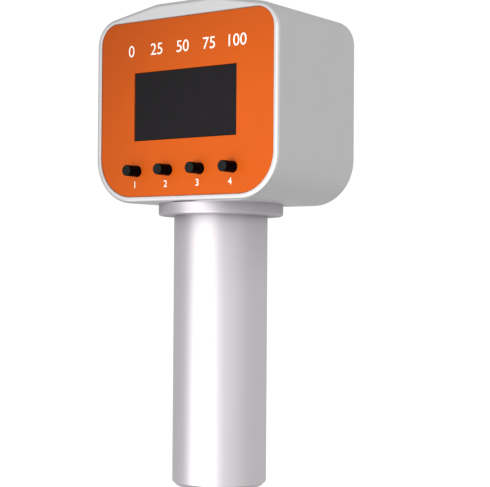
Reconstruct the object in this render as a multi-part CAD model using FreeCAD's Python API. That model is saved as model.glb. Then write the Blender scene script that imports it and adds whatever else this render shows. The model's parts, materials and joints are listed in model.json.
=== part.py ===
import FreeCAD, Part
import math
import os

# Digital hardness tester for rubber: a display head on a round handle tube, with a
# sprung indenter that stands out of the presser foot at the bottom.
# Millimetres and degrees. The origin is the middle of the presser foot's contact face,
# +Z runs up through the handle, and the display faces -Y.

# Handle tube and the round collar between it and the head
tube_diameter = 30.0
tube_wall = 2.5
tube_length = 85.5
tube_chamfer = 1.2
collar_diameter = 40.0
collar_height = 3.85
collar_edge_radius = 0.8
collar_spigot_length = 10.0
collar_bore = 10.0
collar_boss_diameter = 18.0
collar_screw_circle = 28.0

# Presser foot
foot_diameter = 18.0
foot_reach = 10.0
foot_edge_chamfer = 0.5
foot_hole_diameter = 3.0
foot_hole_depth = 2.5
foot_bore = 6.4
foot_spigot_length = 12.0
barrel_spigot_length = 6.0

# Indenter: a hard rod with a truncated cone, pressed back into the foot by the sample
indenter_diameter = 1.25
indenter_tip_diameter = 0.79
indenter_cone_angle = 35.0
indenter_travel = 2.5
indenter_seat_depth = 4.0
indenter_screw_diameter = 1.6
indenter_screw_inset = 0.3

# Spindle and the two bushes that it runs in
spindle_diameter = 4.0
spindle_nose_height = 4.0
running_clearance = 0.03
bush_diameter = 9.0
bush_length = 12.0
bush_flange_gap = 1.0
bush_flange_thickness = 2.0
upper_bush_length = 6.0

# Inner barrel with the calibrated spring, loaded by a threaded ring that a second ring locks
barrel_diameter = 17.0
barrel_wall = 1.5
barrel_headroom = 7.5
spring_wire = 1.1
spring_mean_diameter = 10.0
spring_pitch = 3.7
seat_gap = 0.8
seat_thickness = 2.5
seat_hub_gap = 0.65
seat_hub_height = 4.5
seat_pin_diameter = 1.2
adjuster_thickness = 4.0
adjuster_pilot = 2.0
adjuster_gap = 0.6
adjuster_room = 7.5
spanner_hole_diameter = 1.6
lock_ring_thickness = 2.0
lock_ring_bore = 7.0

# Head: an extruded case with a peaked roof, open at the front and the back
head_width = 71.6
head_height = 62.7
head_depth = 43.7
front_to_axis = 20.07
head_bottom_radius = 14.6
head_shoulder_radius = 8.5
roof_angle = 10.5
roof_flat_width = 23.0
roof_blend_radius = 12.0
roof_thickness = 4.85
case_wall = 2.0
case_edge_radius = 1.2
mouth_chamfer = 0.2
ledge_width = 3.0
ledge_thickness = 1.6

# Corner pillars that take the rear cover's screws, and bosses that carry the board, the
# lower pair this far above the lower pillars and the upper pair this far below the upper ones
pillar_diameter = 6.4
pillar_overlap = 0.9
pillar_hole_depth = 9.0
board_boss_diameter = 5.2
board_boss_inset = 3.2
board_boss_gaps = (7.2, 2.8)

# Orange front panel on a thin adhesive gasket, both sunk into the case's mouth
panel_recess = 0.4
panel_thickness = 1.5
panel_gap = 0.1
gasket_thickness = 0.3

# Display: its window, this far in from the head's sides, bottom and peak, the glass that
# laps behind it, the diffuser and the frame that holds them
window_side = 15.7
window_bottom = 19.7
window_top = 21.25
window_recess = 0.25
window_gap = 0.18
window_flange = 1.6
window_flange_thickness = 1.0
glass_side_lap = 1.4
glass_end_lap = 2.125
glass_thickness = 2.0
display_frame_wall = 1.6
display_gap = 0.1

# Push buttons in a row below the window, the outer two this far in from its sides: round
# plungers of switches that are soldered to the main board
button_diameter = 3.5
button_side = 1.35
button_drop = 9.6
button_protrusion = 5.0
button_travel = 0.25
button_edge_radius = 0.3
button_foot_lip = 0.45
button_foot_thickness = 0.8
button_hole_gap = 0.1
switch_width = 6.0
switch_depth = 3.5
switch_plate = 0.3
switch_dome_room = 0.45
switch_clearance = 0.05

# Main board, and the sensor board that reads the moving scale
board_setback = 5.7
board_thickness = 1.6
board_edge_gap = 0.7
board_bottom_gap = 2.55
board_top_gap = 1.65
sensor_width = 18.0
sensor_height = 22.0
sensor_thickness = 1.2
sensor_spacer_length = 3.0
sensor_spacer_diameter = 2.6
sensor_spacer_inset = 0.4
scale_width = 8.0
scale_length = 26.0
scale_thickness = 1.0
scale_gap = 0.3
carrier_width = 10.0
carrier_height = 6.0
carrier_back = 4.0
carrier_rise = 1.45

# Width, height and thickness of what is soldered to the main board's back, and how far
# the plug socket and the crystal lie below the controller's middle
controller_size = (10.0, 10.0, 1.4)
memory_size = (5.0, 6.0, 1.5)
socket_size = (9.0, 4.0, 4.0)
crystal_diameter = 3.0
crystal_height = 3.5
socket_drop = 13.0
crystal_drop = 9.0

# Guide pin and slotted bracket that keep the scale square to the sensor board
guide_pin_diameter = 2.0
guide_pin_thread = 2.5
guide_pin_collar = 3.6
guide_pin_collar_length = 0.8
guide_pin_overrun = 1.5
guide_slot_clearance = 0.04
guide_slot_overrun = 0.3
bracket_front = 8.0
bracket_thickness = 1.5
bracket_side_gap = 0.65
bracket_foot_length = 9.0
bracket_above_pin = 6.0
bracket_screw_inset = 3.0

# Rear cover and the coin cell behind its bayonet cap
cover_recess = 0.25
cover_thickness = 2.0
cover_gap = 0.08
battery_rise = 1.15
cell_diameter = 20.0
cell_thickness = 3.2
cell_rim = 1.2
cell_step = 0.6
cell_clearance = 0.2
cap_margin = 2.0
cap_clearance = 0.08
cap_neck_step = 0.5
cap_neck_overrun = 0.05
cap_end_gap = 0.1
cap_turn = 60.0
cap_slot_inset = 4.0
cap_slot_width = 1.8
cap_slot_depth = 1.0
lug_reach = 1.4
lug_thickness = 1.2
lug_angle = 30.0
lug_clearance = 0.05
lug_side_angle = 2.0
stop_angle = 1.0
holder_wall = 1.4
holder_ear_diameter = 5.2
contact_thickness = 0.4
contact_ring_width = 2.5
contact_arm_width = 3.0
contact_pin_diameter = 1.0
contact_pin_reach = 2.0

# Screws: shank diameter, head diameter and head height, and the length under the head
collar_screw = (3.0, 5.5, 1.8)
collar_screw_length = 5.0
cover_screw = (2.5, 4.7, 1.3)
cover_screw_length = 7.5
board_screw = (2.0, 3.8, 1.2)
board_screw_length = 4.5
bracket_screw = (2.0, 3.8, 1.2)
holder_screw = (2.0, 3.6, 1.1)
holder_screw_skin = 0.5
screw_hole_gap = 0.1
drive_slot_width = 0.7
drive_slot_length_share = 0.72
drive_slot_depth_share = 0.6
screw_land = 0.2
screw_head_chamfer = 0.3

# Heights of the handle that follow from the sizes above
tube_low = foot_reach
tube_high = tube_low + tube_length
foot_shoulder = tube_low + foot_spigot_length
foot_top = foot_shoulder + barrel_spigot_length
seat_low = foot_top + bush_flange_thickness
seat_high = seat_low + seat_thickness
barrel_high = tube_high - collar_spigot_length - barrel_headroom - bush_flange_thickness
lock_ring_high = barrel_high - upper_bush_length - adjuster_room
adjuster_high = lock_ring_high - lock_ring_thickness
spring_high = adjuster_high - adjuster_thickness
spring_length = spring_high - seat_high

# Diameters in the handle that follow
tube_bore = tube_diameter - 2 * tube_wall
barrel_bore = barrel_diameter - 2 * barrel_wall
bush_flange_diameter = barrel_bore - 2 * bush_flange_gap
seat_diameter = barrel_bore - 2 * seat_gap
seat_hub_diameter = spring_mean_diameter - spring_wire - 2 * seat_hub_gap
adjuster_bore = spindle_diameter + 2 * adjuster_gap

# The case and the cavity inside it, which the panel, gasket and cover all follow
head_low = tube_high + collar_height
head_high = head_low + head_height
cavity_half_width = head_width / 2 - case_wall
cavity_low = head_low + case_wall
cavity_high = head_high - roof_thickness
cavity_middle = (cavity_low + cavity_high) / 2
cavity_bottom_radius = head_bottom_radius - case_wall
cavity_top_radius = head_shoulder_radius - case_wall

# Heights and sizes in the head that follow
carrier_z = cavity_middle + carrier_rise
spindle_high = carrier_z + carrier_height / 2
battery_z = cavity_middle + battery_rise
window_width = head_width - 2 * window_side
window_height = head_height - window_bottom - window_top
window_z = head_low + window_bottom + window_height / 2
glass_width = window_width + 2 * glass_side_lap
glass_height = window_height + 2 * glass_end_lap
button_pitch = (window_width - 2 * button_side) / 3
button_z = head_low + window_bottom - button_drop
button_foot_diameter = button_diameter + 2 * button_foot_lip
switch_cavity_depth = button_foot_thickness + button_travel + switch_dome_room
cap_diameter = cell_diameter + 2 * cap_margin
cap_neck_diameter = cap_diameter - 2 * cap_neck_step
cap_neck_length = lug_clearance + lug_thickness + cap_neck_overrun
cap_slot_length = cap_diameter - 2 * cap_slot_inset
contact_leaf_diameter = cell_diameter - 2 * contact_ring_width
holder_chamber_depth = cap_neck_length + cap_end_gap + contact_thickness
collar_screw_reach = collar_screw_circle / 2 * math.sqrt(0.5)
bracket_width = 2 * collar_screw_reach - collar_screw[1] - 2 * bracket_side_gap

# Front to back positions that follow
case_front = -front_to_axis
case_back = case_front + head_depth
panel_front = case_front + panel_recess
panel_back = panel_front + panel_thickness
ledge_front = panel_back + gasket_thickness
glass_front = panel_back + window_flange_thickness
board_front = panel_back + board_setback
board_back = board_front + board_thickness
sensor_front = board_back + sensor_spacer_length
sensor_back = sensor_front + sensor_thickness
scale_front = sensor_back + scale_gap
scale_back = scale_front + scale_thickness
bracket_back = bracket_front + bracket_thickness
guide_pin_end = bracket_back + guide_pin_overrun
cover_back = case_back - cover_recess
cover_front = cover_back - cover_thickness
chamber_front = cover_front - holder_chamber_depth
cell_front = chamber_front - cell_thickness
holder_floor = cell_front - contact_thickness
holder_front = holder_floor - holder_wall

ALONG_Y = FreeCAD.Vector(0, 1, 0)
ALONG_Z = FreeCAD.Vector(0, 0, 1)


def upright(diameter, low, high, x=0.0, y=0.0):
    """Round bar along Z between two heights."""
    return Part.makeCylinder(diameter / 2, high - low, FreeCAD.Vector(x, y, low))


def level(diameter, front, back, x, z):
    """Round bar along Y between two front to back positions."""
    return Part.makeCylinder(diameter / 2, back - front, FreeCAD.Vector(x, front, z), ALONG_Y)


def block(width, front, back, low, high, x=0.0):
    """Box centred on x, between two front to back positions and two heights."""
    corner = FreeCAD.Vector(x - width / 2, front, low)
    return Part.makeBox(width, back - front, high - low, corner)


def turned(profile):
    """Solid of revolution about Z from (radius, height) points."""
    points = [FreeCAD.Vector(radius, 0, height) for radius, height in profile]
    face = Part.Face(Part.makePolygon(points + points[:1]))
    return face.revolve(FreeCAD.Vector(0, 0, 0), ALONG_Z, 360)


def rounded_outline(corners, y):
    """Closed wire in the plane at y through (x, z, radius) corners, each rounded by an arc."""
    edges = []
    last_point = None
    first_point = None
    for number, (x, z, radius) in enumerate(corners):
        corner = FreeCAD.Vector(x, y, z)
        before = corners[number - 1]
        after = corners[(number + 1) % len(corners)]
        to_before = (FreeCAD.Vector(before[0], y, before[1]) - corner).normalize()
        to_after = (FreeCAD.Vector(after[0], y, after[1]) - corner).normalize()
        half_angle = to_before.getAngle(to_after) / 2
        inward = (to_before + to_after).normalize()
        centre = corner + inward * (radius / math.sin(half_angle))
        start = corner + to_before * (radius / math.tan(half_angle))
        end = corner + to_after * (radius / math.tan(half_angle))
        if last_point is None:
            first_point = start
        else:
            edges.append(Part.makeLine(last_point, start))
        edges.append(Part.Arc(start, centre - inward * radius, end).toShape())
        last_point = end
    edges.append(Part.makeLine(last_point, first_point))
    return Part.Wire(edges)


def plate(outline, depth):
    """Flat plate from a wire in a plane of constant y, thickened towards +Y."""
    return Part.Face(outline).extrude(FreeCAD.Vector(0, depth, 0))


def head_outline(y):
    """The case's outside: round bottom corners, shoulders and a roof that peaks in a flat."""
    half_width = head_width / 2
    half_flat = roof_flat_width / 2
    shoulder = head_high - (half_width - half_flat) * math.tan(math.radians(roof_angle))
    corners = [
        (-half_width, head_low, head_bottom_radius),
        (half_width, head_low, head_bottom_radius),
        (half_width, shoulder, head_shoulder_radius),
        (half_flat, head_high, roof_blend_radius),
        (-half_flat, head_high, roof_blend_radius),
        (-half_width, shoulder, head_shoulder_radius),
    ]
    return rounded_outline(corners, y)


def cavity_outline(y, inset=0.0):
    """The case's inside, drawn in by inset on every side."""
    half_width = cavity_half_width - inset
    low = cavity_low + inset
    high = cavity_high - inset
    bottom_radius = cavity_bottom_radius - inset
    top_radius = cavity_top_radius - inset
    corners = [
        (-half_width, low, bottom_radius),
        (half_width, low, bottom_radius),
        (half_width, high, top_radius),
        (-half_width, high, top_radius),
    ]
    return rounded_outline(corners, y)


def mirrored_pair(x, z):
    """The same place on the left and on the right."""
    return [(-x, z), (x, z)]


def pillar_places():
    """Centres (x, z) of the four corner pillars, tucked into the cavity's rounded corners."""
    reach = math.sqrt(0.5)
    bottom = (cavity_bottom_radius - pillar_diameter / 2 + pillar_overlap) * reach
    top = (cavity_top_radius - pillar_diameter / 2 + pillar_overlap) * reach
    low_x = cavity_half_width - cavity_bottom_radius + bottom
    low_z = cavity_low + cavity_bottom_radius - bottom
    high_x = cavity_half_width - cavity_top_radius + top
    high_z = cavity_high - cavity_top_radius + top
    return mirrored_pair(low_x, low_z) + mirrored_pair(high_x, high_z)


def board_boss_places():
    """Centres (x, z) of the four bosses that the main board is screwed to."""
    x = cavity_half_width - board_boss_inset
    radii = (pillar_diameter + board_boss_diameter) / 2
    heights = [z for _, z in pillar_places()]
    low_gap, high_gap = board_boss_gaps
    low = min(heights) + radii + low_gap
    high = max(heights) - radii - high_gap
    return mirrored_pair(x, low) + mirrored_pair(x, high)


def collar_screw_places():
    """Centres (x, y) of the four screws between case and collar."""
    sides = (-collar_screw_reach, collar_screw_reach)
    return [(x, y) for x in sides for y in sides]


def button_places():
    """Centres x of the four buttons, from left to right."""
    return [button_pitch * step for step in (-1.5, -0.5, 0.5, 1.5)]


def holder_ear_places():
    """Centres (x, z) of the battery holder's three ears."""
    radius = cap_diameter / 2 + lug_reach + holder_wall + holder_ear_diameter / 2
    turns = [math.radians(angle) for angle in (90, 210, 330)]
    return [(radius * math.cos(turn), battery_z + radius * math.sin(turn)) for turn in turns]


def screw(sizes, length, countersunk=False):
    """Screw with its head's underside, or its flat top if countersunk, at z = 0, pointing down."""
    shank, head, height = sizes
    if countersunk:
        profile = [(0, 0), (head / 2, 0), (head / 2, -screw_land), (shank / 2, -height)]
        profile += [(shank / 2, -length), (0, -length)]
        top = 0.0
    else:
        shoulder = head / 2 - screw_head_chamfer
        profile = [(0, height), (shoulder, height), (head / 2, height - screw_head_chamfer)]
        profile += [(head / 2, 0), (shank / 2, 0), (shank / 2, -length), (0, -length)]
        top = height
    body = turned(profile)
    slot_length = head * drive_slot_length_share
    slot_depth = height * drive_slot_depth_share
    for length_x, length_y in ((slot_length, drive_slot_width), (drive_slot_width, slot_length)):
        corner = FreeCAD.Vector(-length_x / 2, -length_y / 2, top - slot_depth)
        body = body.cut(Part.makeBox(length_x, length_y, slot_depth + 1, corner))
    return body


def placed(shape, x, y, z, pointing=None):
    """Copy of a shape that points down, set at a place and turned to point another way."""
    turn = FreeCAD.Rotation()
    if pointing is not None:
        turn = FreeCAD.Rotation(FreeCAD.Vector(0, 0, -1), pointing)
    copy = shape.copy()
    copy.Placement = FreeCAD.Placement(FreeCAD.Vector(x, y, z), turn)
    return copy


def handle_tube():
    outer = tube_diameter / 2
    bore = tube_bore / 2
    profile = [
        (bore, tube_low),
        (outer - tube_chamfer, tube_low),
        (outer, tube_low + tube_chamfer),
        (outer, tube_high),
        (bore, tube_high),
    ]
    return turned(profile)


def collar():
    """Flange with a spigot down into the tube and a boss up into the case's floor."""
    ring = upright(collar_diameter, tube_high, head_low)
    rim = [edge for edge in ring.Edges if abs(edge.BoundBox.ZMax - tube_high) < 1e-6]
    ring = ring.makeFillet(collar_edge_radius, rim)
    spigot = upright(tube_bore, tube_high - collar_spigot_length, tube_high)
    boss = upright(collar_boss_diameter, head_low, cavity_low)
    body = ring.fuse([spigot, boss])
    body = body.cut(upright(collar_bore, tube_high - collar_spigot_length - 1, cavity_low + 1))
    screw_end = cavity_low - collar_screw_length
    for x, y in collar_screw_places():
        body = body.cut(upright(collar_screw[0], screw_end, head_low + 1, x, y))
    return body.removeSplitter()


def collar_screws():
    shape = screw(collar_screw, collar_screw_length)
    return [placed(shape, x, y, cavity_low) for x, y in collar_screw_places()]


def presser_foot():
    foot = foot_diameter / 2
    hole = foot_hole_diameter / 2
    profile = [
        (hole, 0),
        (foot - foot_edge_chamfer, 0),
        (foot, foot_edge_chamfer),
        (foot, tube_low),
        (tube_bore / 2, tube_low),
        (tube_bore / 2, foot_shoulder),
        (barrel_bore / 2, foot_shoulder),
        (barrel_bore / 2, foot_top),
        (bush_diameter / 2, foot_top),
        (bush_diameter / 2, foot_top - bush_length),
        (foot_bore / 2, foot_top - bush_length),
        (foot_bore / 2, foot_hole_depth),
        (hole, foot_hole_depth),
    ]
    return turned(profile)


def lower_bush():
    bore = spindle_diameter / 2 + running_clearance
    profile = [
        (bore, foot_top - bush_length),
        (bush_diameter / 2, foot_top - bush_length),
        (bush_diameter / 2, foot_top),
        (bush_flange_diameter / 2, foot_top),
        (bush_flange_diameter / 2, seat_low),
        (bore, seat_low),
    ]
    return turned(profile)


def upper_bush():
    bore = spindle_diameter / 2 + running_clearance
    profile = [
        (bore, barrel_high - upper_bush_length),
        (barrel_bore / 2, barrel_high - upper_bush_length),
        (barrel_bore / 2, barrel_high),
        (barrel_diameter / 2, barrel_high),
        (barrel_diameter / 2, barrel_high + bush_flange_thickness),
        (bore, barrel_high + bush_flange_thickness),
    ]
    return turned(profile)


def inner_barrel():
    tube = upright(barrel_diameter, foot_shoulder, barrel_high)
    return tube.cut(upright(barrel_bore, foot_shoulder - 1, barrel_high + 1))


def indenter():
    """Rod with a truncated cone whose flat tip stands out of the foot by the full travel."""
    rod = indenter_diameter / 2
    tip = indenter_tip_diameter / 2
    cone_height = (rod - tip) / math.tan(math.radians(indenter_cone_angle / 2))
    top = spindle_nose_height + indenter_seat_depth
    profile = [
        (0, -indenter_travel),
        (tip, -indenter_travel),
        (rod, -indenter_travel + cone_height),
        (rod, top),
        (0, top),
    ]
    return turned(profile)


def indenter_screw_height():
    return spindle_nose_height + indenter_seat_depth / 2


def spindle():
    """Long rod with a socket for the indenter, its grub screw and the spring seat's pin."""
    rod = upright(spindle_diameter, spindle_nose_height, spindle_high)
    socket_top = spindle_nose_height + indenter_seat_depth
    rod = rod.cut(upright(indenter_diameter, spindle_nose_height - 1, socket_top))
    outside = spindle_diameter / 2
    height = indenter_screw_height()
    rod = rod.cut(level(indenter_screw_diameter, 0, outside + 1, 0, height))
    hub = seat_hub_diameter / 2
    return rod.cut(level(seat_pin_diameter, -hub, hub, 0, seat_pin_height()))


def indenter_grub_screw():
    """Short threaded pin in the spindle's side that grips the indenter."""
    height = indenter_screw_height()
    outside = spindle_diameter / 2 - indenter_screw_inset
    pin = level(indenter_screw_diameter, 0, outside, 0, height)
    return pin.cut(upright(indenter_diameter, spindle_nose_height, height + indenter_seat_depth))


def seat_pin_height():
    return seat_high + seat_hub_height / 2


def spring_seat():
    """Disc and hub on the spindle that the spring pushes down on."""
    rod = spindle_diameter / 2
    profile = [
        (rod, seat_low),
        (seat_diameter / 2, seat_low),
        (seat_diameter / 2, seat_high),
        (seat_hub_diameter / 2, seat_high),
        (seat_hub_diameter / 2, seat_high + seat_hub_height),
        (rod, seat_high + seat_hub_height),
    ]
    hub = seat_hub_diameter / 2
    return turned(profile).cut(level(seat_pin_diameter, -hub, hub, 0, seat_pin_height()))


def spring_seat_pin():
    hub = seat_hub_diameter / 2
    pin = level(seat_pin_diameter, -hub, hub, 0, seat_pin_height())
    return pin.common(upright(seat_hub_diameter, seat_high, seat_high + seat_hub_height))


def calibrated_spring():
    """Compression spring between the seat and the adjuster, ground flat at both ends."""
    radius = spring_mean_diameter / 2
    path = Part.makeHelix(spring_pitch, spring_length, radius)
    path.translate(FreeCAD.Vector(0, 0, seat_high))
    start = path.Edges[0].valueAt(path.Edges[0].FirstParameter)
    heading = path.Edges[0].tangentAt(path.Edges[0].FirstParameter)
    section = Part.Wire([Part.makeCircle(spring_wire / 2, start, heading)])
    coil = Part.Wire(path).makePipeShell([section], True, True)
    outside = spring_mean_diameter + 2 * spring_wire
    return coil.common(upright(outside, seat_high, spring_high))


def spring_adjuster():
    """Threaded ring that sets the spring's load, with holes for a pin spanner."""
    bore = adjuster_bore / 2
    profile = [
        (bore, spring_high - adjuster_pilot),
        (seat_hub_diameter / 2, spring_high - adjuster_pilot),
        (seat_hub_diameter / 2, spring_high),
        (barrel_bore / 2, spring_high),
        (barrel_bore / 2, adjuster_high),
        (bore, adjuster_high),
    ]
    ring = turned(profile)
    middle = (adjuster_bore + barrel_bore) / 4
    low = adjuster_high - adjuster_thickness / 2
    for x in (-middle, middle):
        ring = ring.cut(upright(spanner_hole_diameter, low, adjuster_high + 1, x))
    return ring


def adjuster_lock_ring():
    """Threaded ring against the adjuster, with a slot across it for a flat key."""
    high = lock_ring_high
    ring = upright(barrel_bore, adjuster_high, high)
    ring = ring.cut(upright(lock_ring_bore, adjuster_high - 1, high + 1))
    slot_floor = high - lock_ring_thickness / 2
    slot = block(spanner_hole_diameter, -barrel_bore, barrel_bore, slot_floor, high + 1)
    return ring.cut(slot)


def head_case():
    """Extruded case with the front ledge, corner pillars and board bosses inside."""
    body = plate(head_outline(case_front), head_depth)
    rims = []
    for edge in body.Edges:
        box = edge.BoundBox
        if box.YMax - box.YMin < 1e-6:
            rims.append(edge)
    body = body.makeFillet(case_edge_radius, rims)
    body = body.cut(plate(cavity_outline(case_front - 1), head_depth + 2))
    wide_mouth = cavity_outline(case_front, -mouth_chamfer)
    narrow_mouth = cavity_outline(case_front + mouth_chamfer)
    body = body.cut(Part.makeLoft([wide_mouth, narrow_mouth], True, True))

    ledge = plate(cavity_outline(ledge_front, -case_wall / 2), ledge_thickness)
    ledge = ledge.cut(plate(cavity_outline(ledge_front - 1, ledge_width), ledge_thickness + 2))
    added = [ledge]
    for x, z in pillar_places():
        added.append(level(pillar_diameter, ledge_front, cover_front, x, z))
    for x, z in board_boss_places():
        added.append(level(board_boss_diameter, ledge_front, board_front, x, z))
        side = math.copysign(cavity_half_width + case_wall / 2, x)
        width = abs(side - x)
        web = block(width, ledge_front, board_front, z - ledge_width / 2, z + ledge_width / 2)
        web.translate(FreeCAD.Vector((side + x) / 2, 0, 0))
        added.append(web)
    body = body.fuse(added)

    shank = cover_screw[0]
    for x, z in pillar_places():
        body = body.cut(level(shank, cover_front - pillar_hole_depth, cover_front + 1, x, z))
    shank = board_screw[0]
    depth = board_screw_length - board_thickness
    for x, z in board_boss_places():
        body = body.cut(level(shank, board_front - depth, board_front + 1, x, z))
    body = body.cut(upright(collar_boss_diameter, head_low - 1, cavity_low + 1))
    hole = collar_screw[0] + 2 * screw_hole_gap
    for x, y in collar_screw_places():
        body = body.cut(upright(hole, head_low - 1, cavity_low + 1, x, y))
    shank = bracket_screw[0]
    for x, y in bracket_screw_places():
        body = body.cut(upright(shank, head_low + case_wall / 2, cavity_low + 1, x, y))
    return body.removeSplitter()


def front_panel():
    body = plate(cavity_outline(panel_front, panel_gap), panel_thickness)
    low = window_z - window_height / 2
    high = window_z + window_height / 2
    body = body.cut(block(window_width, panel_front - 1, panel_back + 1, low, high))
    hole = button_diameter + 2 * button_hole_gap
    for x in button_places():
        body = body.cut(level(hole, panel_front - 1, panel_back + 1, x, button_z))
    return body


def panel_gasket():
    body = plate(cavity_outline(panel_back, panel_gap), gasket_thickness)
    return body.cut(plate(cavity_outline(panel_back - 1, ledge_width), gasket_thickness + 2))


def display_window():
    """Clear plate that fills the panel's opening, with a flange glued behind it."""
    width = window_width - 2 * window_gap
    height = window_height - 2 * window_gap
    front = panel_front + window_recess
    face = block(width, front, panel_back, window_z - height / 2, window_z + height / 2)
    width += 2 * window_flange
    height += 2 * window_flange
    flange = block(width, panel_back, glass_front, window_z - height / 2, window_z + height / 2)
    return face.fuse(flange).removeSplitter()


def display_glass():
    half = glass_height / 2
    back = glass_front + glass_thickness
    return block(glass_width, glass_front, back, window_z - half, window_z + half)


def display_diffuser():
    half = glass_height / 2
    front = glass_front + glass_thickness
    return block(glass_width, front, board_front, window_z - half, window_z + half)


def display_frame():
    """Plastic frame round the glass and the diffuser, standing on the main board."""
    width = glass_width + 2 * display_gap
    height = glass_height + 2 * display_gap
    wall = 2 * display_frame_wall
    half = (height + wall) / 2
    frame = block(width + wall, glass_front, board_front, window_z - half, window_z + half)
    half = height / 2
    room = block(width, glass_front - 1, board_front + 1, window_z - half, window_z + half)
    return frame.cut(room)


def main_board():
    body = plate(cavity_outline(board_front, board_edge_gap), board_thickness)
    low = cavity_low + board_bottom_gap
    high = cavity_high - board_top_gap
    body = body.common(block(head_width, board_front - 1, board_back + 1, low, high))
    notch = pillar_diameter + 2 * board_edge_gap
    for x, z in pillar_places():
        body = body.cut(level(notch, board_front - 1, board_back + 1, x, z))
    for x, z in board_boss_places():
        body = body.cut(level(board_screw[0], board_front - 1, board_back + 1, x, z))
    return body


def main_board_screws():
    shape = screw(board_screw, board_screw_length)
    return [placed(shape, x, board_back, z, -ALONG_Y) for x, z in board_boss_places()]


def chip(size, x, z):
    """Flat part soldered to the main board's back."""
    width, height, thickness = size
    return block(width, board_back, board_back + thickness, z - height / 2, z + height / 2, x)


def board_chips():
    """Controller and plug socket on one side of the sensor board, memory and crystal opposite."""
    x = (sensor_width / 2 + cavity_half_width - board_edge_gap) / 2
    controller = chip(controller_size, -x, carrier_z)
    socket = chip(socket_size, -x, carrier_z - socket_drop)
    memory = chip(memory_size, x, carrier_z)
    crystal_back = board_back + crystal_height
    crystal = level(crystal_diameter, board_back, crystal_back, x, carrier_z - crystal_drop)
    return [controller, memory, socket, crystal]


def switch_bodies():
    """Four square switches on the front of the board, each with a plate over its cavity."""
    front = board_front - switch_depth
    cavity = front + switch_plate
    wide = button_foot_diameter + 4 * switch_clearance
    narrow = button_diameter + 2 * switch_clearance
    half = switch_width / 2
    bodies = []
    for x in button_places():
        body = block(switch_width, front, board_front, button_z - half, button_z + half, x)
        body = body.cut(level(wide, cavity, cavity + switch_cavity_depth, x, button_z))
        bodies.append(body.cut(level(narrow, front - 1, cavity + 1, x, button_z)))
    return bodies


def button(x):
    """Round plunger with a foot that the switch's plate holds back."""
    front = case_front - button_protrusion
    foot = board_front - switch_depth + switch_plate
    stem = level(button_diameter, front, foot, x, button_z)
    rim = [edge for edge in stem.Edges if abs(edge.BoundBox.YMax - front) < 1e-6]
    stem = stem.makeFillet(button_edge_radius, rim)
    base = level(button_foot_diameter, foot, foot + button_foot_thickness, x, button_z)
    return stem.fuse(base).removeSplitter()


def sensor_z():
    return carrier_z + indenter_travel / 2


def sensor_board():
    half = sensor_height / 2
    return block(sensor_width, sensor_front, sensor_back, sensor_z() - half, sensor_z() + half)


def sensor_spacers():
    x = (sensor_width - sensor_spacer_diameter) / 2 - sensor_spacer_inset
    z = (sensor_height - sensor_spacer_diameter) / 2 - sensor_spacer_inset
    places = mirrored_pair(x, sensor_z() - z) + mirrored_pair(x, sensor_z() + z)
    return [level(sensor_spacer_diameter, board_back, sensor_front, px, pz) for px, pz in places]


def scale_strip():
    half = scale_length / 2
    return block(scale_width, scale_front, scale_back, carrier_z - half, carrier_z + half)


def scale_carrier():
    """Block clamped on the spindle's top, with the scale glued to its front."""
    half = carrier_height / 2
    body = block(carrier_width, scale_back, carrier_back, carrier_z - half, carrier_z + half)
    body = body.cut(upright(spindle_diameter, carrier_z - half - 1, carrier_z + half + 1))
    return body.cut(level(guide_pin_thread, 0, carrier_back + 1, 0, carrier_z))


def guide_pin():
    """Screwed into the carrier against the spindle, with a smooth end in the bracket's slot."""
    collar_end = carrier_back + guide_pin_collar_length
    thread = level(guide_pin_thread, 0, carrier_back, 0, carrier_z)
    half = carrier_height / 2
    thread = thread.cut(upright(spindle_diameter, carrier_z - half, carrier_z + half))
    shoulder = level(guide_pin_collar, carrier_back, collar_end, 0, carrier_z)
    end = level(guide_pin_diameter, collar_end, guide_pin_end, 0, carrier_z)
    return thread.fuse([shoulder, end]).removeSplitter()


def bracket_screw_places():
    """Centres (x, y) of the two screws through the bracket's foot."""
    y = bracket_back + (bracket_foot_length - bracket_thickness) / 2
    return mirrored_pair(bracket_width / 2 - bracket_screw_inset, y)


def guide_bracket():
    """Bent plate on the case's floor, slotted for the guide pin."""
    top = carrier_z + indenter_travel + bracket_above_pin
    upright_leg = block(bracket_width, bracket_front, bracket_back, cavity_low, top)
    foot_back = bracket_front + bracket_foot_length
    leg_low = cavity_low + bracket_thickness
    foot_leg = block(bracket_width, bracket_front, foot_back, cavity_low, leg_low)
    body = upright_leg.fuse(foot_leg).removeSplitter()
    bend = []
    for edge in body.Edges:
        box = edge.BoundBox
        across = box.XMax - box.XMin > bracket_width - 1e-3
        outside = abs(box.YMin - bracket_front) < 1e-3 and abs(box.ZMin - cavity_low) < 1e-3
        if across and outside and box.ZMax - box.ZMin < 1e-3:
            bend.append(edge)
    body = body.makeFillet(bracket_thickness, bend)
    slot_diameter = guide_pin_diameter + 2 * guide_slot_clearance
    low = carrier_z - guide_slot_overrun
    high = carrier_z + indenter_travel + guide_slot_overrun
    front = bracket_front - 1
    back = bracket_back + 1
    slot = block(slot_diameter, front, back, low, high)
    ends = [level(slot_diameter, front, back, 0, z) for z in (low, high)]
    body = body.cut(slot.fuse(ends))
    for x, y in bracket_screw_places():
        body = body.cut(upright(bracket_screw[0], cavity_low - 1, leg_low + 1, x, y))
    return body


def guide_bracket_screws():
    shape = screw(bracket_screw, bracket_thickness + case_wall / 2)
    z = cavity_low + bracket_thickness
    return [placed(shape, x, y, z) for x, y in bracket_screw_places()]


def battery_point(radius, angle, y):
    """Point at a radius from the battery's axis, at an angle turned about +Y from +X."""
    turn = math.radians(angle)
    return FreeCAD.Vector(radius * math.cos(turn), y, battery_z - radius * math.sin(turn))


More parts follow.
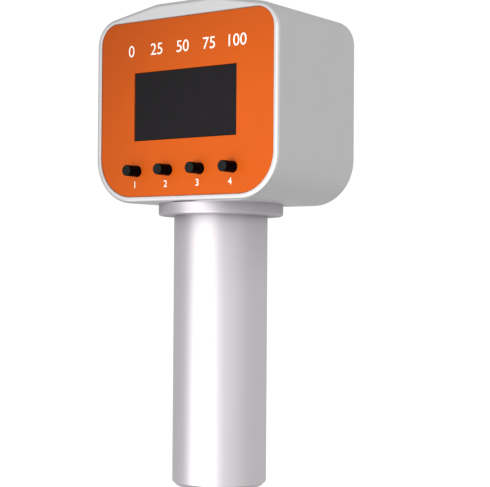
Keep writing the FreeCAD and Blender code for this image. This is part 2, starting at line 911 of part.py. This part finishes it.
def battery_sector(outer, inner, front, back, middle, span):
    """Part of a ring about the battery's axis, centred on an angle, for lugs and slots."""
    start = middle - span / 2
    end = middle + span / 2
    outside = [battery_point(outer, angle, front) for angle in (start, middle, end)]
    inside = [battery_point(inner, angle, front) for angle in (end, middle, start)]
    edges = [
        Part.Arc(*outside).toShape(),
        Part.makeLine(outside[2], inside[0]),
        Part.Arc(*inside).toShape(),
        Part.makeLine(inside[2], outside[0]),
    ]
    return plate(Part.Wire(edges), back - front)


def rear_cover():
    body = plate(cavity_outline(cover_front, cover_gap), cover_thickness)
    opening = cap_diameter + 2 * cap_clearance
    body = body.cut(level(opening, cover_front - 1, cover_back + 1, 0, battery_z))
    reach = cap_diameter / 2 + lug_reach + 2 * cap_clearance
    span = lug_angle + 2 * lug_side_angle
    inner = cap_diameter / 4
    for middle in (cap_turn, cap_turn + 180):
        slot = battery_sector(reach, inner, cover_front - 1, cover_back + 1, middle, span)
        body = body.cut(slot)
    sink = turned(countersink_profile())
    for x, z in pillar_places():
        body = body.cut(placed(sink, x, cover_back, z, -ALONG_Y))
    depth = holder_screw_depth()
    for x, z in holder_ear_places():
        body = body.cut(level(holder_screw[0], cover_front - 1, cover_front + depth, x, z))
    return body


def countersink_profile():
    """The hole that a cover screw sits in, as (radius, height) points, opening at z = 0."""
    shank, head, height = cover_screw
    low = -cover_thickness - 1
    mouth = [(0, 1), (head / 2, 1), (head / 2, -screw_land), (shank / 2, -height)]
    return mouth + [(shank / 2, low), (0, low)]


def rear_cover_screws():
    shape = screw(cover_screw, cover_screw_length, countersunk=True)
    return [placed(shape, x, cover_back, z, -ALONG_Y) for x, z in pillar_places()]


def battery_cap():
    """Coin-slotted cap with two bayonet lugs that lie behind the cover when it is locked."""
    disc = level(cap_diameter, cover_front, cover_back, 0, battery_z)
    neck = level(cap_neck_diameter, cover_front - cap_neck_length, cover_front, 0, battery_z)
    body = disc.fuse(neck)
    back = cover_front - lug_clearance
    reach = cap_diameter / 2 + lug_reach
    inner = cap_neck_diameter / 4
    for middle in (0, 180):
        lug = battery_sector(reach, inner, back - lug_thickness, back, middle, lug_angle)
        body = body.fuse(lug)
    half = cap_slot_width / 2
    depth = cover_back - cap_slot_depth
    slot = block(cap_slot_length, depth, cover_back + 1, battery_z - half, battery_z + half)
    return body.cut(slot).removeSplitter()


def holder_screw_depth():
    """How far the holder's screws reach into the cover, which they don't pierce."""
    return cover_thickness - holder_screw_skin


def battery_holder():
    """Cup for the coin cell, with a chamber that the cap's lugs turn in and three ears."""
    chamber = cap_diameter / 2 + lug_reach + 2 * cap_clearance
    outside = 2 * (chamber + holder_wall)
    body = level(outside, holder_front, cover_front, 0, battery_z)
    ears = []
    for x, z in holder_ear_places():
        ears.append(level(holder_ear_diameter, chamber_front, cover_front, x, z))
        arm = block(holder_ear_diameter, chamber_front, cover_front, 0, math.hypot(x, z - battery_z))
        turn = math.degrees(math.atan2(-x, z - battery_z))
        arm.rotate(FreeCAD.Vector(0, 0, 0), ALONG_Y, -turn)
        arm.translate(FreeCAD.Vector(0, 0, battery_z))
        ears.append(arm)
    body = body.fuse(ears)
    cell_bore = cell_diameter + 2 * cell_clearance
    body = body.cut(level(cell_bore, holder_floor, cover_front + 1, 0, battery_z))
    for middle in (cap_turn / 2, cap_turn / 2 + 180):
        span = cap_turn + lug_angle + 2 * stop_angle
        room = battery_sector(chamber, cell_bore / 4, chamber_front, cover_front + 1, middle, span)
        body = body.cut(room)
    neck = cap_neck_diameter + 4 * cap_clearance
    body = body.cut(level(neck, chamber_front, cover_front + 1, 0, battery_z))
    for x, z in holder_ear_places():
        body = body.cut(level(holder_screw[0], chamber_front - 1, cover_front + 1, x, z))
    for x in contact_pin_places():
        pin = level(contact_pin_diameter, holder_front - 1, chamber_front + 1, x, battery_z)
        body = body.cut(pin)
    return body.removeSplitter()


def holder_screws():
    shape = screw(holder_screw, holder_chamber_depth + holder_screw_depth())
    return [placed(shape, x, chamber_front, z, ALONG_Y) for x, z in holder_ear_places()]


def coin_cell():
    """Coin cell with its smaller negative face towards the cup's floor."""
    step = cell_front + cell_step
    can = level(cell_diameter, step, chamber_front, 0, battery_z)
    face = level(cell_diameter - 2 * cell_rim, cell_front, step, 0, battery_z)
    return can.fuse(face).removeSplitter()


def contact_pin_places():
    """Places x of the negative pin, under the cell, and of the positive pin beside it."""
    return (-cell_diameter / 4, cell_diameter / 2 + cell_clearance + contact_pin_diameter)


def battery_contacts():
    """Negative leaf under the cell and positive leaf over its rim, each with its pin."""
    negative_x, positive_x = contact_pin_places()
    pin_front = holder_front - contact_pin_reach
    leaf = level(contact_leaf_diameter, holder_floor, cell_front, 0, battery_z)
    pin = level(contact_pin_diameter, pin_front, holder_floor, negative_x, battery_z)
    negative = leaf.fuse(pin).removeSplitter()

    back = chamber_front + contact_thickness
    ring = level(cell_diameter, chamber_front, back, 0, battery_z)
    half = contact_arm_width / 2
    arm = block(positive_x, chamber_front, back, battery_z - half, battery_z + half)
    arm.translate(FreeCAD.Vector(positive_x / 2, 0, 0))
    pin = level(contact_pin_diameter, pin_front, back, positive_x, battery_z)
    positive = ring.fuse([arm, pin])
    hole = level(contact_leaf_diameter, chamber_front - 1, back + 1, 0, battery_z)
    positive = positive.cut(hole).removeSplitter()
    return [negative, positive]


def make_nodes():
    """Every node by name, as one solid or a list of separate solids."""
    names = ("button_left", "button_centre_left", "button_centre_right", "button_right")
    nodes = {name: button(x) for name, x in zip(names, button_places())}
    nodes.update({
        "handle_tube": handle_tube(),
        "collar": collar(),
        "collar_screws": collar_screws(),
        "presser_foot": presser_foot(),
        "lower_bush": lower_bush(),
        "upper_bush": upper_bush(),
        "inner_barrel": inner_barrel(),
        "indenter": indenter(),
        "indenter_grub_screw": indenter_grub_screw(),
        "spindle": spindle(),
        "spring_seat": spring_seat(),
        "spring_seat_pin": spring_seat_pin(),
        "calibrated_spring": calibrated_spring(),
        "spring_adjuster": spring_adjuster(),
        "adjuster_lock_ring": adjuster_lock_ring(),
        "head_case": head_case(),
        "front_panel": front_panel(),
        "panel_gasket": panel_gasket(),
        "display_window": display_window(),
        "display_glass": display_glass(),
        "display_diffuser": display_diffuser(),
        "display_frame": display_frame(),
        "main_board": main_board(),
        "main_board_screws": main_board_screws(),
        "board_chips": board_chips(),
        "switch_bodies": switch_bodies(),
        "sensor_board": sensor_board(),
        "sensor_spacers": sensor_spacers(),
        "scale_strip": scale_strip(),
        "scale_carrier": scale_carrier(),
        "guide_pin": guide_pin(),
        "guide_bracket": guide_bracket(),
        "guide_bracket_screws": guide_bracket_screws(),
        "rear_cover": rear_cover(),
        "rear_cover_screws": rear_cover_screws(),
        "battery_cap": battery_cap(),
        "battery_holder": battery_holder(),
        "holder_screws": holder_screws(),
        "coin_cell": coin_cell(),
        "battery_contacts": battery_contacts(),
    })
    return nodes


os.makedirs("parts", exist_ok=True)
for name, shape in make_nodes().items():
    if isinstance(shape, list):
        shape = Part.makeCompound(shape)
    shape.exportStep("parts/" + name + ".step")
    print(name, len(shape.Solids), round(shape.Volume, 2), shape.isValid())
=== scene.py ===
import json
import math

import bpy
from mathutils import Matrix, Vector


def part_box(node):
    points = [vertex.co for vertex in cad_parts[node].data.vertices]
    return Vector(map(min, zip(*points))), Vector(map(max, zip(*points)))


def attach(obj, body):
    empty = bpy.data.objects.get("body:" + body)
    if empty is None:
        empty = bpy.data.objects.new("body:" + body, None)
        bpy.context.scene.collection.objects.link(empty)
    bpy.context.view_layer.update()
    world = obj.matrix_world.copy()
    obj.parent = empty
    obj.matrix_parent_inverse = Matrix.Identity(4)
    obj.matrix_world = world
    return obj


# Looks of a digital hardness tester: satin aluminium head, collar and handle, an orange
# lacquered front panel with white print, a smoked display window and black push buttons.
# Metres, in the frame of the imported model: the foot's contact face is at z = 0, the display
# faces -Y.

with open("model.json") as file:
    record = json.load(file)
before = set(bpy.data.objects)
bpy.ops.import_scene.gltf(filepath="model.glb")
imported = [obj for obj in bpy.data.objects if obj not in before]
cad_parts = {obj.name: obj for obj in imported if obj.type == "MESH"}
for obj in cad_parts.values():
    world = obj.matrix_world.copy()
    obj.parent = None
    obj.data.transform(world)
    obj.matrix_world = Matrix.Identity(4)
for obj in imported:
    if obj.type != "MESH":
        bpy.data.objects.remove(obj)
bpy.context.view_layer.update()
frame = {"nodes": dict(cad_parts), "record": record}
node = frame["nodes"]

MM = 0.001

# Places of the main forms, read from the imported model
PANEL_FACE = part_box("front_panel")[0].y
CASE_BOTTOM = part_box("head_case")[0].z
WINDOW_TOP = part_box("display_window")[1].z
BUTTONS = ("button_left", "button_centre_left", "button_centre_right", "button_right")

# Camera that matches the photograph: place, turn in degrees and lens
IMAGE_WIDTH = 490
FOCAL_PIXELS = 1352.975
SENSOR_WIDTH = 36.0
CAMERA_DISTANCE = 434.7 * MM
CAMERA_AZIMUTH = 36.5915
CAMERA_YAW = 35.566
CAMERA_PITCH = 1.2295
CAMERA_ROLL = 0.3864
CAMERA_BELOW_CASE = 21.80 * MM


def linear(red, green, blue):
    """Linear colour of an sRGB colour given as 0 to 255."""
    def channel(value):
        share = value / 255
        return share / 12.92 if share <= 0.04045 else ((share + 0.055) / 1.055) ** 2.4
    return (channel(red), channel(green), channel(blue), 1.0)


# Materials

# Range that noise mostly lies in
NOISE_LOW = 0.3
NOISE_HIGH = 0.7

# Patches of uneven colour and fine grain: size of a patch, octaves of noise, and share by
# which roughness wanders
PATCH_DETAIL = 2.0
METAL_PATCH = 9 * MM
METAL_DETAIL = 4.0
METAL_WANDER = 0.08
PLASTIC_PATCH = 6 * MM
PLASTIC_DETAIL = 3.0
PLASTIC_WANDER = 0.1

# Painted shade that the head casts on collar and tube, darkened into their base colour by ambient
# occlusion: reach, share of the colour and samples
PAINTED_SHADE_REACH = 30 * MM
PAINTED_SHADE_SHARE = 0.9
PAINTED_SHADE_SAMPLES = 16

# Y of the normal at which the painted light on a plunger's end face starts and is full
END_FACE_STARTS = -0.6
END_FACE_FULL = -0.95


class Nodes:
    """Short way to build a material's node tree round one Principled shader."""

    def __init__(self, name):
        self.material = bpy.data.materials.new(name)
        self.material.use_nodes = True
        self.tree = self.material.node_tree
        self.shader = self.tree.nodes["Principled BSDF"]

    def new(self, kind, **settings):
        made = self.tree.nodes.new(kind)
        for key, value in settings.items():
            setattr(made, key, value)
        return made

    def link(self, output, socket):
        self.tree.links.new(output, socket)

    def set(self, **values):
        for key, value in values.items():
            self.shader.inputs[key.replace("_", " ")].default_value = value

    def noise(self, size, detail):
        """Noise whose grains are about size metres wide."""
        made = self.new("ShaderNodeTexNoise")
        made.inputs["Scale"].default_value = 1 / size
        made.inputs["Detail"].default_value = detail
        coordinates = self.new("ShaderNodeTexCoord")
        self.link(coordinates.outputs["Object"], made.inputs["Vector"])
        return made.outputs["Fac"]

    def spread(self, value, low, high):
        """Maps the range that noise mostly lies in to low up to high."""
        made = self.new("ShaderNodeMapRange")
        made.inputs["From Min"].default_value = NOISE_LOW
        made.inputs["From Max"].default_value = NOISE_HIGH
        made.inputs["To Min"].default_value = low
        made.inputs["To Max"].default_value = high
        self.link(value, made.inputs["Value"])
        return made.outputs["Result"]

    def mix(self, factor, first, second):
        """Colour between two colours, by a factor that varies."""
        made = self.new("ShaderNodeMix", data_type="RGBA")
        self.link(factor, made.inputs["Factor"])
        made.inputs["A"].default_value = first
        made.inputs["B"].default_value = second
        return made.outputs["Result"]

    def bump(self, height, depth):
        """Relief of a real depth in metres."""
        made = self.new("ShaderNodeBump")
        made.inputs["Distance"].default_value = depth
        made.inputs["Strength"].default_value = 1.0
        self.link(height, made.inputs["Height"])
        self.link(made.outputs["Normal"], self.shader.inputs["Normal"])

    def uneven_colour(self, colour, shade, patch):
        """Base colour that wanders by a share round a colour, in patches of a size."""
        light = tuple(min(1.0, part * (1 + shade)) for part in colour[:3]) + (1.0,)
        dark = tuple(part * (1 - shade) for part in colour[:3]) + (1.0,)
        broad = self.spread(self.noise(patch, PATCH_DETAIL), 0.0, 1.0)
        self.link(self.mix(broad, dark, light), self.shader.inputs["Base Color"])

    def shelter(self, reach, share):
        """Painted shade: darkens the base colour by a share where other shapes stand close before
        it.
        """
        socket = self.shader.inputs["Base Color"]
        colour = socket.links[0].from_socket
        open_sky = self.new("ShaderNodeAmbientOcclusion", samples=PAINTED_SHADE_SAMPLES)
        open_sky.inputs["Distance"].default_value = reach
        shade = self.new("ShaderNodeMapRange")
        shade.inputs["To Min"].default_value = 1 - share
        self.link(open_sky.outputs["AO"], shade.inputs["Value"])
        darker = self.new("ShaderNodeVectorMath", operation="SCALE")
        self.link(colour, darker.inputs[0])
        self.link(shade.outputs["Result"], darker.inputs["Scale"])
        self.link(darker.outputs["Vector"], socket)

    def grain(self, size, detail, roughness, wander, depth):
        """Fine grain: roughness that wanders by a share, and relief of a real depth."""
        fine = self.noise(size, detail)
        varied = self.spread(fine, roughness * (1 - wander), roughness * (1 + wander))
        self.link(varied, self.shader.inputs["Roughness"])
        self.bump(fine, depth)


def metal(name, colour, roughness, grain, depth, shade=0.04, shelter=0.0):
    """Metal with slightly uneven colour and roughness and a fine grain, and painted shade in its
    colour near other shapes when a share is given.
    """
    nodes = Nodes(name)
    nodes.set(Metallic=1.0)
    nodes.uneven_colour(colour, shade, METAL_PATCH)
    if shelter:
        nodes.shelter(PAINTED_SHADE_REACH, shelter)
    nodes.grain(grain, METAL_DETAIL, roughness, METAL_WANDER, depth)
    return nodes.material


def satin(name, colour, shelter=0.0):
    """Bead-blasted aluminium, with painted shade in its colour near other shapes when a share is
    given.
    """
    return metal(name, colour, 0.40, 0.12 * MM, 0.0006 * MM, shade=0.008, shelter=shelter)


def plastic(name, colour, roughness, grain, depth, shade=0.08, specular=0.5):
    """Moulded or painted surface with slightly uneven colour and a fine texture."""
    nodes = Nodes(name)
    nodes.uneven_colour(colour, shade, PLASTIC_PATCH)
    nodes.grain(grain, PLASTIC_DETAIL, roughness, PLASTIC_WANDER, depth)
    nodes.set(Specular_IOR_Level=specular)
    return nodes.material


def button_plastic(name, side, end, roughness, grain, depth, specular):
    """Moulded plunger: deep black round its side; the end that faces the user is greyer, as
    painted light in place of the reflection it catches.
    """
    nodes = Nodes(name)
    coordinates = nodes.new("ShaderNodeTexCoord")
    parts = nodes.new("ShaderNodeSeparateXYZ")
    nodes.link(coordinates.outputs["Normal"], parts.inputs["Vector"])
    painted_lit_end_share = nodes.new("ShaderNodeMapRange")
    painted_lit_end_share.inputs["From Min"].default_value = END_FACE_STARTS
    painted_lit_end_share.inputs["From Max"].default_value = END_FACE_FULL
    nodes.link(parts.outputs["Y"], painted_lit_end_share.inputs["Value"])
    colour = nodes.mix(painted_lit_end_share.outputs["Result"], side, end)
    nodes.link(colour, nodes.shader.inputs["Base Color"])
    nodes.grain(grain, PLASTIC_DETAIL, roughness, PLASTIC_WANDER, depth)
    nodes.set(Specular_IOR_Level=specular)
    return nodes.material


SATIN = satin("satin_aluminium", linear(240, 239, 241))
# Tube and collar carry painted shade where the head and collar stand close. The collar's copy is
# also painted darker all over as shade from the head above it, and the tube's copy is a little
# lighter than the head's aluminium.
TUBE_SATIN_PAINTED_SHADE = satin("satin_tube_painted_shade", linear(245, 241, 245), shelter=PAINTED_SHADE_SHARE)
COLLAR_SATIN_PAINTED_SHADE = satin("satin_collar_painted_shade", linear(233, 227, 232), shelter=PAINTED_SHADE_SHARE)
ORANGE_COLOUR = (0.487, 0.079, 0.005, 1.0)
ORANGE = plastic(
    "orange_lacquer", ORANGE_COLOUR, 0.40, 0.2 * MM, 0.0006 * MM,
    shade=0.01, specular=0.15,
)
WINDOW = plastic(
    "smoked_window", linear(26, 24, 26), 0.3, 0.5 * MM, 0.0003 * MM,
    shade=0.04, specular=0.1,
)
# The lighter grey on the plunger ends, linear(31, 32, 32), is painted light; the deep black is
# the plastic's own colour.
BLACK = button_plastic(
    "black_plastic", linear(5, 5, 7), linear(31, 32, 32), 0.42, 0.15 * MM, 0.002 * MM, 0.015
)
DULL_BLACK = plastic("dull_black_plastic", linear(30, 30, 31), 0.55, 0.2 * MM, 0.004 * MM)
WHITE_PRINT = plastic("white_print", linear(245, 240, 232), 0.5, 0.1 * MM, 0.001 * MM, shade=0.02)
GLASS = plastic("display_glass", linear(120, 126, 116), 0.12, 0.5 * MM, 0.0002 * MM)
DIFFUSER = plastic("diffuser", linear(238, 240, 236), 0.6, 0.2 * MM, 0.001 * MM)
BOARD = plastic("circuit_board", linear(24, 92, 48), 0.35, 0.3 * MM, 0.003 * MM, shade=0.12)
GASKET = plastic("gasket", linear(40, 40, 40), 0.85, 0.2 * MM, 0.01 * MM)
EPOXY = plastic("scale_epoxy", linear(205, 190, 130), 0.45, 0.2 * MM, 0.002 * MM)
HARD_STEEL = metal("hard_steel", linear(205, 205, 207), 0.22, 0.12 * MM, 0.001 * MM)
SCREW_STEEL = metal("screw_steel", linear(198, 198, 202), 0.34, 0.1 * MM, 0.001 * MM)
SPRING_STEEL = metal("spring_steel", linear(120, 118, 116), 0.3, 0.1 * MM, 0.001 * MM)
BRASS = metal("brass", linear(222, 190, 118), 0.28, 0.15 * MM, 0.001 * MM)
CELL_CAN = metal("cell_can", linear(214, 214, 216), 0.18, 0.2 * MM, 0.0005 * MM)

SLOT_MATERIALS = {
    "satin_aluminium": SATIN,
    "orange_lacquer": ORANGE,
    "smoked_window": WINDOW,
    "display_glass": GLASS,
    "diffuser": DIFFUSER,
    "black_plastic": BLACK,
    "dull_black_plastic": DULL_BLACK,
    "circuit_board": BOARD,
    "hard_steel": HARD_STEEL,
    "screw_steel": SCREW_STEEL,
    "spring_steel": SPRING_STEEL,
    "brass": BRASS,
    "gasket": GASKET,
    "scale_epoxy": EPOXY,
    "cell_can": CELL_CAN,
}


def dress_cad_nodes():
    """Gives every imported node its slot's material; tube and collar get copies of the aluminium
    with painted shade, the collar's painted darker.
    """
    for entry in frame["record"]["subparts"]:
        shape = node[entry["node"]]
        shape.data.materials.clear()
        shape.data.materials.append(SLOT_MATERIALS[entry["material_slot"]])
    node["handle_tube"].data.materials[0] = TUBE_SATIN_PAINTED_SHADE
    node["collar"].data.materials[0] = COLLAR_SATIN_PAINTED_SHADE


# White print on the panel: a plain 0 to 100 scale over the window, a number by each button

PRINT_THICKNESS = 0.02 * MM
DIGIT_SHARE = 0.69
SCALE_STEP = 25
SCALE_END = 100
SCALE_LEFT = -21.4 * MM
SCALE_RIGHT = 19.9 * MM
SCALE_GAP = 3.9 * MM
DIGIT_HEIGHT = 3.6 * MM
LABEL_HEIGHT = 2.1 * MM
LABEL_GAP = 5.3 * MM
LABEL_SHIFT = -0.9 * MM


def printed_text(name, text, height, x, z):
    """Flat white lettering on the panel's face, centred on x with its foot at z."""
    curve = bpy.data.curves.new(name, "FONT")
    curve.body = text
    curve.align_x = "CENTER"
    curve.size = height / DIGIT_SHARE
    curve.extrude = PRINT_THICKNESS / 2
    curve.materials.append(WHITE_PRINT)
    piece = bpy.data.objects.new(name, curve)
    bpy.context.scene.collection.objects.link(piece)
    piece.location = (x, PANEL_FACE - PRINT_THICKNESS / 2, z)
    piece.rotation_euler = (math.radians(90), 0, 0)
    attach(piece, "frame")


def build_print():
    """The scale's numbers over the window and a number under each button."""
    base = WINDOW_TOP + SCALE_GAP
    for number in range(0, SCALE_END + 1, SCALE_STEP):
        x = SCALE_LEFT + (SCALE_RIGHT - SCALE_LEFT) * number / SCALE_END
        printed_text(f"scale_number_{number}", str(number), DIGIT_HEIGHT, x, base)
    for order, name in enumerate(BUTTONS):
        low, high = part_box(name)
        x = (low.x + high.x) / 2 + LABEL_SHIFT
        z = (low.z + high.z) / 2 - LABEL_GAP
        printed_text(f"button_number_{order + 1}", str(order + 1), LABEL_HEIGHT, x, z)


# Floor, light and camera

WHITE = (1.0, 1.0, 1.0, 1.0)
FLOOR_COLOUR = (0.9, 0.9, 0.9, 1.0)
FLOOR_SIZE = 6.0
FLOOR_LEVEL = -2.5 * MM
FLOOR_ROUGHNESS = 0.9
FLOOR_GLOW = 0.6
BACKDROP = 1.05
WORLD_LIGHT = 0.473

# Soft pools of light in the studio: azimuth (0 is before the display, 90 to its right) and
# height of the middle, radius of the even middle and width of the fading rim, all in degrees,
# and radiance, below 0 where the pool is darker than the rest
LIGHT_POOLS = (
    (-7.0, -19.1, 14.2, 32.0, 1.30),
    (47.0, -3.5, 1.5, 60.1, 0.26),
    (0.0, -90.0, 20.0, 55.0, -0.08),
    (143.0, 10.0, 20.0, 60.0, 0.05),
)

# Spot lamp straight before and below the display's right side: place, soft radius, watts,
# cone in degrees and the share of the cone that fades
LAMP_PLACE = (35 * MM, -170 * MM, 90 * MM)
LAMP_RADIUS = 30 * MM
LAMP_POWER = 0.82
LAMP_CONE = 64.4
LAMP_FADE = 0.48


def build_floor():
    """White floor for the camera: the studio's light comes from the world, below it too."""
    mesh = bpy.data.meshes.new("floor")
    half = FLOOR_SIZE / 2
    corners = [(-half, -half), (half, -half), (half, half), (-half, half)]
    mesh.from_pydata([(x, y, FLOOR_LEVEL) for x, y in corners], [], [(0, 1, 2, 3)])
    floor = bpy.data.objects.new("floor", mesh)
    bpy.context.scene.collection.objects.link(floor)
    nodes = Nodes("pale_floor")
    nodes.set(Base_Color=FLOOR_COLOUR, Roughness=FLOOR_ROUGHNESS)
    nodes.set(Emission_Color=WHITE, Emission_Strength=FLOOR_GLOW)
    mesh.materials.append(nodes.material)
    floor.visible_diffuse = False
    floor.visible_glossy = False
    floor.visible_shadow = False


def direction(azimuth, height):
    """Unit vector towards an azimuth and a height over the horizon, in degrees."""
    turn = math.radians(azimuth)
    rise = math.radians(height)
    return (math.sin(turn) * math.cos(rise), -math.cos(turn) * math.cos(rise), math.sin(rise))


def build_world():
    """White behind the object for the camera; as light, a grey studio with soft bright pools."""
    world = bpy.data.worlds.new("studio")
    bpy.context.scene.world = world
    world.use_nodes = True
    tree = world.node_tree
    seen = tree.nodes["Background"]
    seen.inputs["Color"].default_value = WHITE
    seen.inputs["Strength"].default_value = BACKDROP
    coordinates = tree.nodes.new("ShaderNodeTexCoord")
    total = None
    for azimuth, height, even, rim, radiance in LIGHT_POOLS:
        towards = tree.nodes.new("ShaderNodeVectorMath")
        towards.operation = "DOT_PRODUCT"
        towards.inputs[1].default_value = direction(azimuth, height)
        tree.links.new(coordinates.outputs["Generated"], towards.inputs[0])
        pool = tree.nodes.new("ShaderNodeMapRange")
        pool.interpolation_type = "SMOOTHSTEP"
        pool.inputs["From Min"].default_value = math.cos(math.radians(even + rim))
        pool.inputs["From Max"].default_value = math.cos(math.radians(even))
        pool.inputs["To Max"].default_value = radiance
        tree.links.new(towards.outputs["Value"], pool.inputs["Value"])
        add = tree.nodes.new("ShaderNodeMath")
        add.inputs[1].default_value = WORLD_LIGHT
        tree.links.new(pool.outputs["Result"], add.inputs[0])
        if total:
            tree.links.new(total, add.inputs[1])
        total = add.outputs["Value"]
    lit = tree.nodes.new("ShaderNodeBackground")
    lit.inputs["Color"].default_value = WHITE
    tree.links.new(total, lit.inputs["Strength"])
    path = tree.nodes.new("ShaderNodeLightPath")
    mix = tree.nodes.new("ShaderNodeMixShader")
    tree.links.new(path.outputs["Is Camera Ray"], mix.inputs[0])
    tree.links.new(lit.outputs["Background"], mix.inputs[1])
    tree.links.new(seen.outputs["Background"], mix.inputs[2])
    tree.links.new(mix.outputs["Shader"], tree.nodes["World Output"].inputs["Surface"])


def build_panel_lamp():
    """Small soft spot that lights paint and plastic; the metal doesn't mirror it."""
    data = bpy.data.lights.new("panel_lamp", "SPOT")
    data.shadow_soft_size = LAMP_RADIUS
    data.energy = LAMP_POWER
    data.spot_size = math.radians(LAMP_CONE)
    data.spot_blend = LAMP_FADE
    lamp = bpy.data.objects.new("panel_lamp", data)
    lamp.location = LAMP_PLACE
    lamp.rotation_euler = (math.radians(90), 0, 0)
    lamp.visible_glossy = False
    lamp.visible_camera = False
    bpy.context.scene.collection.objects.link(lamp)


def build_camera():
    """Camera of the photograph."""
    turn = math.radians(CAMERA_AZIMUTH)
    yaw = math.radians(CAMERA_YAW)
    pitch = math.radians(CAMERA_PITCH)
    roll = math.radians(CAMERA_ROLL)
    place = Vector((math.sin(turn), -math.cos(turn), 0)) * CAMERA_DISTANCE
    place.z = CASE_BOTTOM - CAMERA_BELOW_CASE
    level = Vector((-math.sin(yaw), math.cos(yaw), 0))
    ahead = level * math.cos(pitch) + Vector((0, 0, math.sin(pitch)))
    right = Vector((math.cos(yaw), math.sin(yaw), 0))
    up = right.cross(ahead)
    image_right = right * math.cos(roll) + up * math.sin(roll)
    image_up = up * math.cos(roll) - right * math.sin(roll)
    data = bpy.data.cameras.new("camera")
    data.sensor_fit = "HORIZONTAL"
    data.sensor_width = SENSOR_WIDTH
    data.lens = FOCAL_PIXELS * SENSOR_WIDTH / IMAGE_WIDTH
    data.clip_start = 10 * MM
    camera = bpy.data.objects.new("camera", data)
    bpy.context.scene.collection.objects.link(camera)
    turned = Matrix((image_right, image_up, -ahead)).transposed().to_4x4()
    camera.matrix_world = Matrix.Translation(place) @ turned
    bpy.context.scene.camera = camera


dress_cad_nodes()
build_print()
build_floor()
build_world()
build_panel_lamp()
build_camera()
bpy.context.scene.view_settings.view_transform = "Standard"
